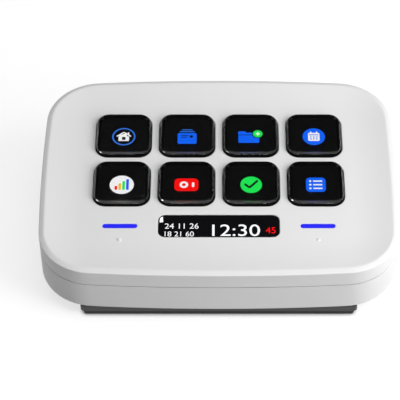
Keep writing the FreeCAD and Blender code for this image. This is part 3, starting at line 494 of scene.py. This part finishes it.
def coverProfile():  # from the seam up the wall, over the rim and down to the dish's floor, as (inset, level)
    bottom, shoulder = seam["level"] + seam["gap"], crest - cover["rimDrop"]
    support, bend, rim = cover["support"], cover["rimRound"], cover["rimWidth"]
    profile = [(cover["wall"], bottom)] + softLowerEdge(cover["edge"], bottom)
    profile += [(0, bottom + cover["edge"] + support), (0, shoulder - bend - support)]
    profile += upperRound(bend, shoulder, 15, last=75)
    start = profile[-1]
    for step in range(1, cover["rimSteps"] + 1):  # the rim rises in a shallow curve to its crest
        part = step / cover["rimSteps"]
        level = start[1] + (crest - start[1]) * (1 - (1 - part) ** cover["rimPower"])
        profile.append((start[0] + (rim - start[0]) * part, level))
    for step in range(1, cover["dishSteps"] + 1):
        part = (step / cover["dishSteps"]) ** cover["dishSpread"]
        level = crest - cover["dishDepth"] * (1 - (1 - part) ** cover["dishPower"])
        profile.append((rim + (cover["dishReach"] - rim) * part, level))
    profile.append((cover["dishReach"] + cover["flat"], dishFloor))
    return profile


def makeCover():
    bm = bmesh.new()
    rings = [bowedLoop(bm, inset, level) for inset, level in coverProfile()]
    bridgeAll(bm, rings)
    inner = bowedLoop(bm, cover["wall"], dishFloor - cover["plate"])
    bridge(bm, rings[0], inner)
    above, below = list(rings[-1]), list(inner)
    bend = cover["windowRound"]
    steps = [(cover["windowBorder"], 0)]
    steps += [(bend * grow, bend * sink) for grow, sink in cover["windowCurve"]]
    steps.append((0, cover["plate"]))
    for x, y, width, length, radius in coverWindows():
        loops = [roundedLoop(bm, x, y, width + 2 * grow, length + 2 * grow, radius + grow, dishFloor - sink)
                 for grow, sink in steps]
        bridgeAll(bm, loops)
        above += loops[0]
        below += loops[-1]
    bmesh.ops.triangle_fill(bm, use_beauty=True, edges=above, normal=(0, 0, 1))
    bmesh.ops.triangle_fill(bm, use_beauty=True, edges=below, normal=(0, 0, -1))
    makePiece("coverShell", bm, "cover_white", stands=("top_cover",))


makeCover()

touchDot = {"x": 29.3, "y": -25.0, "radius": 0.6, "height": 0.26, "around": 28, "rings": 16}


def makeTouchDots():
    bm = bmesh.new()
    for x in (-touchDot["x"], touchDot["x"]):
        known = set(bm.verts)
        bmesh.ops.create_uvsphere(bm, u_segments=touchDot["around"], v_segments=touchDot["rings"], radius=1)
        corners = newOnes(bm.verts, known)
        bmesh.ops.scale(bm, verts=corners, vec=(touchDot["radius"], touchDot["radius"], touchDot["height"]))
        bmesh.ops.translate(bm, verts=corners, vec=(x, touchDot["y"], dishFloor))
    makePiece("touchDots", bm, "cover_white")


makeTouchDots()
print("cover ready")


# lower housing, with the port in a recess of its rear wall

housing = {
    "wall": 2.0, "floor": 2.0, "edge": 0.04, "bottomRound": 0.5, "bottomFlat": 0.3, "bottomInset": 12,
    "brim": 0.14, "grooveEnd": 1.2, "grooveDeep": 0.9,  # a groove behind a thin brim darkens the seam
    "lipGap": 0.1, "lip": 0.9, "lipRise": 1.2,
}
recess = {
    "width": 13.0, "height": 6.9, "radius": 3.0, "depth": 4.4, "level": 6.1, "wall": 1.2, "flare": 0.45,
    "floorRound": 0.3, "floorNear": 0.08, "mouthWidth": 9.2, "mouthHeight": 3.5, "past": 1,
}


def rearBody(steps, width, height, radius):  # rounded loops square to the rear wall, as (growth, y)
    bm = bmesh.new()
    loops = []
    for grow, y in steps:
        known = set(bm.verts)
        loops.append(roundedLoop(bm, 0, 0, width + 2 * grow, height + 2 * grow, radius + grow, 0))
        corners = newOnes(bm.verts, known)
        upright = Matrix.Rotation(math.pi / 2, 3, "X")
        bmesh.ops.rotate(bm, verts=corners, cent=(0, 0, 0), matrix=upright)
        bmesh.ops.translate(bm, verts=corners, vec=(0, y, recess["level"]))
    loftedShell(bm, loops)
    return bm


def housingProfile():  # from the underside up the wall, over the groove and lip and down inside
    low, top = housingLow.z, seam["level"]
    edge, bend, support = housing["edge"], housing["bottomRound"], cover["support"]
    inside = housing["wall"] + housing["lipGap"]
    lipInside, lipTop = inside + housing["lip"], top + housing["lipRise"]
    brim, grooveEnd, grooveFloor = housing["brim"], housing["grooveEnd"], top - housing["grooveDeep"]
    profile = [(housing["bottomInset"], low), (bend + housing["bottomFlat"], low)]
    profile += lowerRound(bend, low, 15)
    profile += [(0, low + bend + support), (0, top - edge - support)]
    profile += softUpperEdge(edge, top)
    profile += [(brim, top), (brim, grooveFloor), (grooveEnd, grooveFloor), (grooveEnd, top), (inside, top)]
    profile += [(inside, lipTop), (lipInside, lipTop), (lipInside, low + housing["floor"])]
    return profile


def makeHousing():
    bm = bmesh.new()
    loftedShell(bm, [bowedLoop(bm, inset, level) for inset, level in housingProfile()])
    shell = makePiece("housingShell", bm, "housing_white", stands=("lower_housing",))

    rear = housingHigh.y
    back, spare, past = rear - recess["depth"], recess["wall"], recess["past"]
    flare, floorRound, floorNear = recess["flare"], recess["floorRound"], recess["floorNear"]
    shape = recess["width"], recess["height"], recess["radius"]
    combine(shell, rearBody(((spare, back - spare), (spare, rear - past)), *shape), "UNION")
    steps = [(-floorRound, back), (-floorNear, back + floorNear), (0, back + floorRound)]
    steps += upperRound(flare, rear, 15)  # a soft lip where the recess meets the rear wall
    steps.append((flare, rear + past))
    combine(shell, rearBody(steps, *shape), "DIFFERENCE")
    slotWidth, slotHeight = recess["mouthWidth"], recess["mouthHeight"]
    mouth = rearBody(((0, back - 2 * spare), (0, back + past)), slotWidth, slotHeight, slotHeight / 2)
    combine(shell, mouth, "DIFFERENCE")
    smoothMesh(shell.data)


makeHousing()
print("housing ready")

port = {
    "wall": 0.28, "depth": 6.2, "lip": 0.1,
    "bladeWidth": 6.7, "bladeThick": 0.7, "bladeBack": 0.7, "bladeRoot": 0.1, "bladeNose": 0.3,
    "noseThin": 0.1, "bladeRound": 0.25,
    "pads": 12, "padPitch": 0.5, "padWidth": 0.26, "padLength": 3.6, "padBack": 0.5, "padThick": 0.06,
}


def makePortShell(low, high):
    width, height, mouthY = high.x - low.x, high.z - low.z, high.y
    wall, lip = port["wall"], port["lip"]
    steps = (  # outside, round the rolled lip and down the inside
        (0, low.y), (0, mouthY - lip), (-lip * 0.4, mouthY - lip * 0.2), (-wall * 0.5, mouthY),
        (-wall + lip * 0.3, mouthY - lip * 0.3), (-wall, mouthY - lip * 1.4), (-wall, mouthY - port["depth"]),
    )
    bm = rearBody(steps, width, height, height / 2)
    makePiece("portShell", bm, "socket_steel", stands=("usb_socket",))


def makePortBlade(mouthY):
    tip, thick = mouthY - port["bladeBack"], port["bladeThick"]
    root = mouthY - port["depth"] - port["bladeRoot"]
    steps = ((0, root), (0, tip - port["bladeNose"]), (-port["noseThin"], tip))
    blade = rearBody(steps, port["bladeWidth"], thick, thick * port["bladeRound"])
    makePiece("portBlade", blade, "inner_black")
    pads = bmesh.new()
    padY = tip - port["padBack"] - port["padLength"] / 2
    for side in (-1, 1):
        for step in range(port["pads"]):
            x = (step - (port["pads"] - 1) / 2) * port["padPitch"]
            place = (Matrix.Translation((x, padY, recess["level"] + side * thick / 2))
                     @ Matrix.Diagonal((port["padWidth"], port["padLength"], port["padThick"], 1)))
            bmesh.ops.create_cube(pads, size=1, matrix=place)
    makePiece("portPads", pads, "copper")


portLow, portHigh = sizeOf("usb_socket")
makePortShell(portLow, portHigh)
makePortBlade(portHigh.y)
print("port ready")


# dark base and its pad

base = {"radius": 1.0, "edge": 0.3, "past": 1}
pad = {"round": 0.3, "flat": 0.3, "top": 0.1, "groove": 0.3, "grooveInset": 4.0, "grooveWidth": 1.2,
       "grooveRadius": 0.5}


def makeBase():
    low, high = sizeOf("base_wedge", deskPlace)
    bm = bmesh.new()
    profile = softLowerEdge(base["edge"], low.z) + [(0, high.z + base["past"])]
    roundedBody(bm, (0, 0), high.x - low.x, high.y - low.y, base["radius"], profile)
    bmesh.ops.bisect_plane(  # the slab's underside cuts the block to a wedge
        bm, geom=list(bm.verts) + list(bm.edges) + list(bm.faces), clear_outer=True,
        plane_co=slabPlace.translation * perMetre, plane_no=slabPlace.to_3x3() @ Vector((0, 0, 1)))
    bmesh.ops.contextual_create(bm, geom=[rim for rim in bm.edges if rim.is_boundary])
    makePiece("baseBody", bm, "base_black", stands=("base_wedge",), place=deskPlace)


def makePad():
    low, high = sizeOf("rubber_pad", deskPlace)
    bend, deep, inset, top = pad["round"], low.z + pad["groove"], pad["grooveInset"], pad["top"]
    inner = inset + pad["grooveWidth"]
    profile = [(inner, low.z), (inner, deep), (inset, deep), (inset, low.z), (bend + pad["flat"], low.z)]
    profile += lowerRound(bend, low.z, 18)
    profile += [(0, high.z - top), (top, high.z)]
    bm = bmesh.new()
    roundedBody(bm, (0, 0), high.x - low.x, high.y - low.y, base["radius"], profile,
                least=pad["grooveRadius"])
    makePiece("padBody", bm, "pad_rubber", stands=("rubber_pad",), place=deskPlace)


makeBase()
makePad()
print("base ready")


# keys

lens = {"round": 1.45, "turn": 64, "lift": 0.1, "edge": 0.08, "steps": 8, "flat": 0.3, "cornerSteps": 10,
        "leastRadius": 0.4, "clearFrom": 1.3, "sharp": 50}
lensBorder = newFinish("lensBorder", (0.003, 0.003, 0.0032), 0.6, depth=0, mottle=0.2, wear=0, specular=0.05)


def makeLens(number, x, y):
    low, high = sizeOf(f"key_lens_{number}")
    width, length = high.x - low.x, high.y - low.y
    radius = windows["radius"] - (windows["size"] - width) / 2
    bottom, bend, clearFrom = low.z + lens["lift"], lens["round"], lens["clearFrom"]
    turn = math.radians(lens["turn"])
    side = high.z - bend * (1 - math.cos(turn))  # where the upright side meets the rounded edge
    profile = [(clearFrom, bottom)] + softLowerEdge(lens["edge"], bottom) + [(0, side - lens["edge"])]
    for step in range(lens["steps"] + 1):
        angle = turn * (1 - step / lens["steps"])
        profile.append((bend * (math.sin(turn) - math.sin(angle)), high.z - bend * (1 - math.cos(angle))))
    profile.append((bend * math.sin(turn) + lens["flat"], high.z))
    bm = bmesh.new()
    roundedBody(bm, (x, y), width, length, radius, profile, lens["cornerSteps"], lens["leastRadius"])
    for face in bm.faces:  # the upright sides and the border under the lens are printed black
        middle = face.calc_center_median()
        border = max(abs(middle.x - x), abs(middle.y - y)) > width / 2 - clearFrom
        face.material_index = int(middle.z < side and border)
    makePiece(f"keyLens{number}", bm, "clear_plastic", body=f"key_{number}", stands=(f"key_lens_{number}",),
              sharp=lens["sharp"], paints=(finishes["clear_plastic"], lensBorder))


for number, x, y in keyCentres():
    makeLens(number, x, y)
print("key lenses ready")


# small pictures on the screens under the keys

screenDots = {"pitch": 0.2, "dark": 0.86, "bright": 1.14, "base": 0.2, "roughness": 0.35, "specular": 0.2}
wavesPerUnit = 20  # a wave texture of scale 1 turns through 20 radians in a metre


def newInk(name, colour, strength):  # lit dots of a small screen, a little darker between dots
    finish, tree, shader = startMaterial(name, {
        "Base Color": (*[part * screenDots["base"] for part in colour], 1),
        "Roughness": screenDots["roughness"], "Specular IOR Level": screenDots["specular"],
        "Emission Strength": strength,
    })
    place = slabCoordinates(tree)
    scale = 2 * math.pi / (wavesPerUnit * screenDots["pitch"] / perMetre)
    waves = [addNode(tree, "TexWave", {"bands_direction": direction}, {"Vector": place, "Scale": scale})
             for direction in "XY"]
    dots = mathNode(tree, "MULTIPLY", *[wave.outputs["Fac"] for wave in waves])
    tone = twoTones(tree, dots, colour, screenDots["dark"], screenDots["bright"])
    tree.links.new(tone, shader.inputs["Emission Color"])
    return finish


inks = {
    "white": newInk("inkWhite", (0.90, 0.90, 0.92), 1.05),
    "blue": newInk("inkBlue", (0.004, 0.125, 0.95), 1.05),
    "paleBlue": newInk("inkPaleBlue", (0.03, 0.17, 0.72), 1.0),
    "deepBlue": newInk("inkDeepBlue", (0.004, 0.03, 0.20), 1.0),
    "green": newInk("inkGreen", (0.012, 0.78, 0.09), 1.05),
    "red": newInk("inkRed", (0.98, 0.002, 0.002), 1.05),
    "yellow": newInk("inkYellow", (0.95, 0.55, 0.01), 1.0),
    "black": newInk("inkBlack", (0.01, 0.01, 0.012), 0.4),
}
inkOrder = list(inks)
drawing = {"thickness": 0.012, "lowest": 0.004, "step": 0.016, "shiftY": -0.57, "scale": 0.955,
           "cornerSteps": 5, "fullRound": 0.499}


def thicken(bm, known, ink):  # gives the newest flat faces a little thickness and their ink
    grown = bmesh.ops.extrude_face_region(bm, geom=newOnes(bm.faces, known))["geom"]
    tops = [item for item in grown if isinstance(item, bmesh.types.BMVert)]
    bmesh.ops.translate(bm, verts=tops, vec=(0, 0, drawing["thickness"]))
    for face in newOnes(bm.faces, known):
        face.material_index = inkOrder.index(ink)


def placeOn(layer, x, y, turn=0.0):
    level = drawing["lowest"] + layer * drawing["step"]
    return Matrix.Translation((x, y, level)) @ Matrix.Rotation(math.radians(turn), 4, "Z")


def drawDisc(bm, ink, layer, x, y, width, sides=40, turn=0.0, tall=None):
    known = set(bm.faces)
    place = (placeOn(layer, x, y) @ Matrix.Diagonal((width, tall or width, 1, 1))
             @ Matrix.Rotation(math.radians(turn), 4, "Z"))
    bmesh.ops.create_circle(bm, cap_ends=True, radius=0.5, segments=sides, matrix=place)
    thicken(bm, known, ink)


def drawPlate(bm, ink, layer, x, y, width, tall, corner=0.15, turn=0.0):
    known = set(bm.faces)
    place = placeOn(layer, x, y, turn) @ Matrix.Diagonal((width, tall, 1, 1))
    roundedPlate(bm, place, min(corner, min(width, tall) * drawing["fullRound"]), drawing["cornerSteps"])
    thicken(bm, known, ink)


def drawRing(bm, ink, layer, x, y, width, thick, sides=56):
    known = set(bm.faces)
    place = placeOn(layer, x, y)
    bmesh.ops.create_circle(bm, cap_ends=True, radius=width / 2, segments=sides, matrix=place)
    disc = newOnes(bm.faces, known)
    bmesh.ops.inset_individual(bm, faces=disc, thickness=thick, use_even_offset=True)
    bmesh.ops.delete(bm, geom=disc, context="FACES_ONLY")
    thicken(bm, known, ink)


def drawHouse(bm):
    drawRing(bm, "paleBlue", layer=0, x=0, y=0, width=7.5, thick=0.5)
    for side in (-1, 1):  # eaves
        drawPlate(bm, "white", layer=1, x=side * 1.15, y=1.0, width=2.9, tall=0.42, turn=-side * 38)
    drawDisc(bm, "white", layer=0, x=0, y=0.45, width=4.0, tall=2.6, sides=3, turn=90)
    drawPlate(bm, "white", layer=0, x=0, y=-0.85, width=3.4, tall=2.0, corner=0.25)
    drawPlate(bm, "white", layer=0, x=1.45, y=1.25, width=0.5, tall=1.2, corner=0.1)
    drawPlate(bm, "black", layer=1, x=0, y=-0.75, width=1.15, tall=1.25, corner=0.2)


def drawCards(bm):
    drawPlate(bm, "blue", layer=0, x=0, y=-0.75, width=6.1, tall=4.6, corner=0.5)
    drawPlate(bm, "paleBlue", layer=0, x=0, y=2.15, width=4.9, tall=0.38)
    drawPlate(bm, "paleBlue", layer=0, x=0, y=2.95, width=3.5, tall=0.36)
    drawPlate(bm, "deepBlue", layer=1, x=-0.75, y=0.4, width=2.5, tall=0.42)
    drawPlate(bm, "deepBlue", layer=1, x=-1.05, y=-0.35, width=1.9, tall=0.36)
    drawDisc(bm, "black", layer=1, x=1.35, y=0.05, width=1.1)


def drawFolder(bm):
    drawPlate(bm, "blue", layer=0, x=-2.7, y=1.55, width=2.5, tall=1.5, corner=0.35)
    drawPlate(bm, "blue", layer=0, x=-0.55, y=-0.45, width=6.7, tall=4.4, corner=0.45)
    drawPlate(bm, "deepBlue", layer=1, x=-1.4, y=0.75, width=4.9, tall=0.3, corner=0.1)
    drawDisc(bm, "black", layer=1, x=2.35, y=1.2, width=3.7)
    drawDisc(bm, "green", layer=2, x=2.35, y=1.2, width=3.1)
    drawPlate(bm, "white", layer=3, x=2.35, y=1.2, width=1.4, tall=0.4, corner=0.1)
    drawPlate(bm, "white", layer=3, x=2.35, y=1.2, width=0.4, tall=1.4, corner=0.1)


def drawCalendar(bm):
    drawDisc(bm, "blue", layer=0, x=0, y=0, width=7.2, sides=56)
    drawPlate(bm, "white", layer=1, x=0, y=-0.1, width=3.7, tall=3.5, corner=0.5)
    drawPlate(bm, "blue", layer=2, x=0, y=0.75, width=3.1, tall=0.35, corner=0.1)
    for x in (-0.95, 0.95):
        drawPlate(bm, "white", layer=1, x=x, y=1.75, width=0.45, tall=0.9, corner=0.2)
    for column in range(3):
        for row in range(2):
            x, y = (column - 1) * 0.95, -0.15 - row * 0.85
            drawPlate(bm, "blue", layer=2, x=x, y=y, width=0.5, tall=0.45, corner=0.1)


def drawChart(bm):
    drawDisc(bm, "white", layer=0, x=0, y=0, width=7.6, sides=56)
    bars = (("red", 1.6), ("yellow", 2.7), ("green", 3.6), ("blue", 4.4))
    for step, (ink, tall) in enumerate(bars):
        x, y = (step - 1.5) * 1.2, -2.1 + tall / 2
        drawPlate(bm, ink, layer=1, x=x, y=y, width=0.85, tall=tall, corner=0.2)


def drawRecorder(bm):
    drawPlate(bm, "red", layer=0, x=0, y=0, width=7.6, tall=5.2, corner=1.4)
    drawDisc(bm, "white", layer=1, x=-0.8, y=0, width=2.7)
    drawDisc(bm, "red", layer=2, x=-0.8, y=0, width=1.2)
    drawPlate(bm, "white", layer=1, x=2.1, y=0, width=0.75, tall=1.9, corner=0.3)


def drawTick(bm):
    drawDisc(bm, "green", layer=0, x=0, y=0, width=6.8, sides=56)
    drawPlate(bm, "black", layer=1, x=-1.25, y=-0.45, width=2.3, tall=0.75, corner=0.3, turn=-45)
    drawPlate(bm, "black", layer=1, x=0.75, y=0.25, width=4.1, tall=0.75, corner=0.3, turn=48)


def drawList(bm):
    drawPlate(bm, "blue", layer=0, x=0, y=0, width=6.2, tall=5.9, corner=1.3)
    for row in range(3):
        y = 1.5 - row * 1.5
        drawDisc(bm, "white", layer=1, x=-1.75, y=y, width=0.75)
        drawPlate(bm, "white", layer=1, x=0.6, y=y, width=2.9, tall=0.55, corner=0.2)


pictures = (drawHouse, drawCards, drawFolder, drawCalendar, drawChart, drawRecorder, drawTick, drawList)


def makePicture(number, x, y, draw):
    bm = bmesh.new()
    draw(bm)
    screenTop = sizeOf(f"key_screen_{number}")[1].z
    bmesh.ops.scale(bm, verts=bm.verts, vec=(drawing["scale"], drawing["scale"], 1))
    bmesh.ops.translate(bm, verts=bm.verts, vec=(x, y + drawing["shiftY"], screenTop))
    makePiece(f"picture{number}", bm, "screen_glass", body=f"key_{number}", merge=0.0, paints=inks.values())


for (number, x, y), draw in zip(keyCentres(), pictures):
    makePicture(number, x, y, draw)
print("key pictures ready")


# information display and light bars

infoPlate = {"gap": 0.1, "bend": 0.2, "sink": 0.02, "edge": 0.1, "flat": 0.2}
infoLow, infoHigh = sizeOf("info_window")
infoTop = infoHigh.z - infoPlate["sink"]


def makeInfoWindow():
    bend, edge = infoPlate["bend"], infoPlate["edge"]
    profile = [(edge, infoLow.z), (0, infoLow.z + edge)] + upperRound(bend, infoTop, 18)
    profile.append((bend + infoPlate["flat"], infoTop))
    bm = bmesh.new()
    roundedBody(bm, (0, infoPlace["y"]), infoHigh.x - infoLow.x, infoHigh.y - infoLow.y,
                infoPlace["radius"] - infoPlate["gap"], profile)
    makePiece("infoPanel", bm, "info_glass", stands=("info_window",))


makeInfoWindow()

infoWords = (
    {"words": "12:30", "x": 5.1, "y": -21.35, "width": 14.1, "tall": 4.4, "ink": "white"},
    {"words": "24 11 26", "x": -10.95, "y": -19.75, "width": 10.0, "tall": 2.0, "ink": "white"},
    {"words": "18 21 60", "x": -11.65, "y": -22.75, "width": 8.6, "tall": 1.9, "ink": "white"},
    {"words": "45", "x": 15.3, "y": -21.35, "width": 2.9, "tall": 2.3, "ink": "red"},
)
letterValues = {"lift": 0.002, "merge": 0.0001}


def flatLetters(words):
    letters = bpy.data.curves.new("letters", "FONT")
    letters.body = words
    holder = bpy.data.objects.new("letters", letters)
    bpy.context.scene.collection.objects.link(holder)
    bpy.context.view_layer.update()
    mesh = bpy.data.meshes.new_from_object(holder.evaluated_get(bpy.context.evaluated_depsgraph_get()))
    bpy.data.objects.remove(holder)
    return mesh


def makeInfoWords():
    bm = bmesh.new()
    for values in infoWords:
        known = set(bm.faces)
        knownCorners = set(bm.verts)
        mesh = flatLetters(values["words"])
        bm.from_mesh(mesh)
        bpy.data.meshes.remove(mesh)
        bmesh.ops.remove_doubles(bm, verts=newOnes(bm.verts, knownCorners), dist=letterValues["merge"])
        corners = newOnes(bm.verts, knownCorners)
        low, high = boxOf([corner.co for corner in corners])
        fit = (values["width"] / (high.x - low.x), values["tall"] / (high.y - low.y), 1)
        bmesh.ops.translate(bm, verts=corners, vec=-(low + high) / 2)
        bmesh.ops.scale(bm, verts=corners, vec=fit)
        bmesh.ops.translate(bm, verts=corners, vec=(values["x"], values["y"], letterValues["lift"]))
        thicken(bm, known, values["ink"])
    bmesh.ops.translate(bm, verts=bm.verts, vec=(0, 0, infoTop))
    makePiece("infoWords", bm, "info_glass", merge=0.0, paints=inks.values())


makeInfoWords()

bar = {"bend": 0.15, "thick": 1.6, "edge": 0.05, "cornerSteps": 10}


def makeLightBar(name, node, x):
    top = sizeOf(node)[1].z
    under, length = top - bar["thick"], barPlace["length"]
    profile = [(bar["edge"], under), (0, under + bar["edge"])] + upperRound(bar["bend"], top, 18)
    bm = bmesh.new()
    roundedBody(bm, (x, barPlace["y"]), barPlace["width"], length, length / 2, profile, bar["cornerSteps"])
    makePiece(name, bm, "light_blue", stands=(node,))


makeLightBar("lightBarLeft", "light_guide_left", -barPlace["x"])
makeLightBar("lightBarRight", "light_guide_right", barPlace["x"])
print("display and light bars ready")
